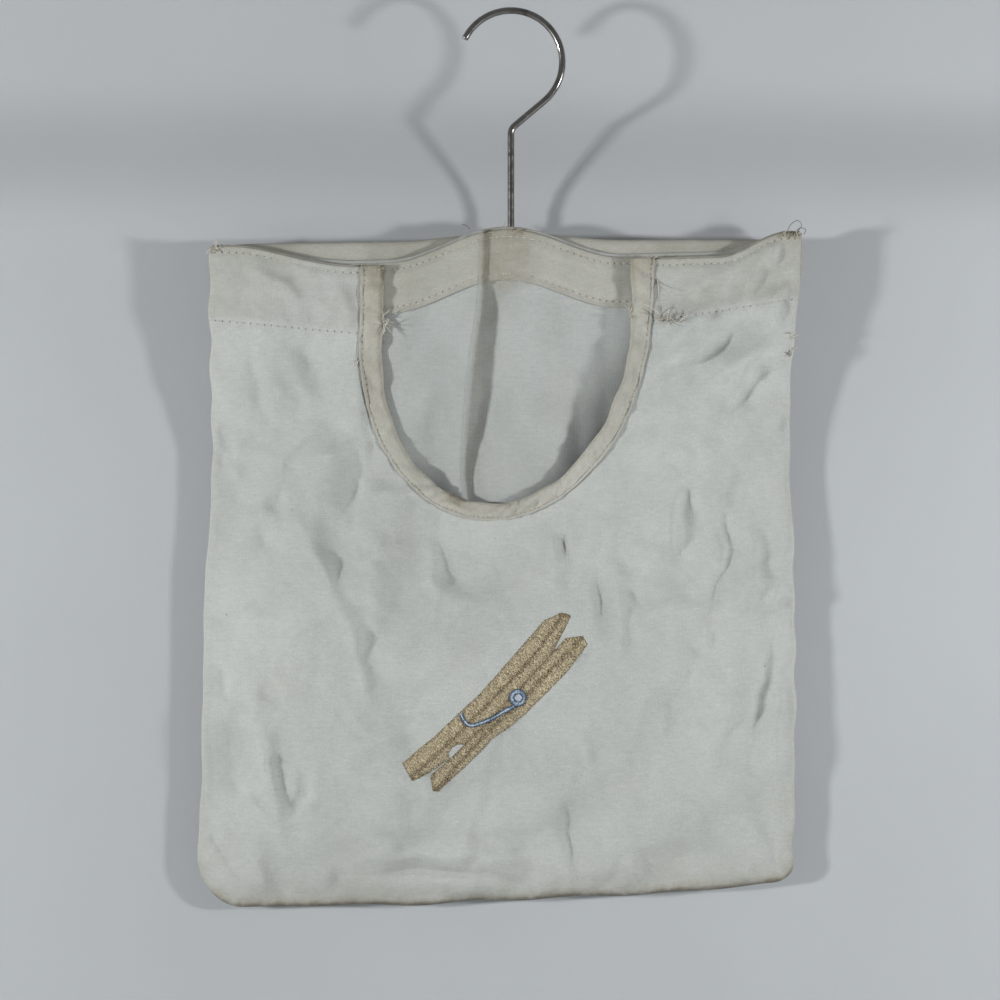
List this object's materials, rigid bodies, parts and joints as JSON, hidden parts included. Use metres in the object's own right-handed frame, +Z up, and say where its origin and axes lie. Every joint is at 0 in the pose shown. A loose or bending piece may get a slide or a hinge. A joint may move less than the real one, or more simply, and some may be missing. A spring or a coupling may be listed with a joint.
{
  "type": "peg bag",
  "caption": "Flat cloth peg bag with a tape-bound U-shaped mouth, an embroidered clothes peg, and a sleeve holding a wooden hanger bar with a swivelling wire hook.",
  "frame": {"origin": "the hook's seat: the inside top of its bend, on the shank's axis", "axes": "+Z up along the hook's shank, -Y out of the bag's front, +X to the right as seen from the front"},
  "size_m": [0.3056, 0.035, 0.4565],
  "materials": {
    "polished_steel": "bright drawn wire, polished",
    "zinc_steel": "zinc plated, satin",
    "beech": "sanded, unvarnished",
    "cotton_drill": "washed off-white cotton, matte",
    "cream_tape": "folded cotton tape, matte",
    "cotton_thread": "overcast cotton thread, soiled",
    "tan_thread": "satin-stitched thread with a sheen",
    "blue_thread": "satin-stitched thread with a sheen"
  },
  "bodies": {
    "bag": {"hook_washer": "zinc_steel", "hanger_bar": "beech", "hanger_sleeve": "cotton_drill", "back_panel": "cotton_drill", "back_facing": "cotton_drill", "seam_allowance": "cotton_drill", "front_panel": "cotton_drill", "front_facing_left": "cotton_drill", "front_facing_right": "cotton_drill", "mouth_binding": "cream_tape", "left_corner_tack": "cotton_thread", "right_corner_tack": "cotton_thread", "embroidered_peg_upper": "tan_thread", "embroidered_peg_lower": "tan_thread", "embroidered_spring": "blue_thread"},
    "hook": {"hook": "polished_steel"}
  },
  "joints": [
    {"name": "hook_swivel", "type": "hinge", "parent": "bag", "child": "hook", "pos_m": [0, 0, -0.12], "axis": [0, 0, 1], "continuous": true}
  ]
}
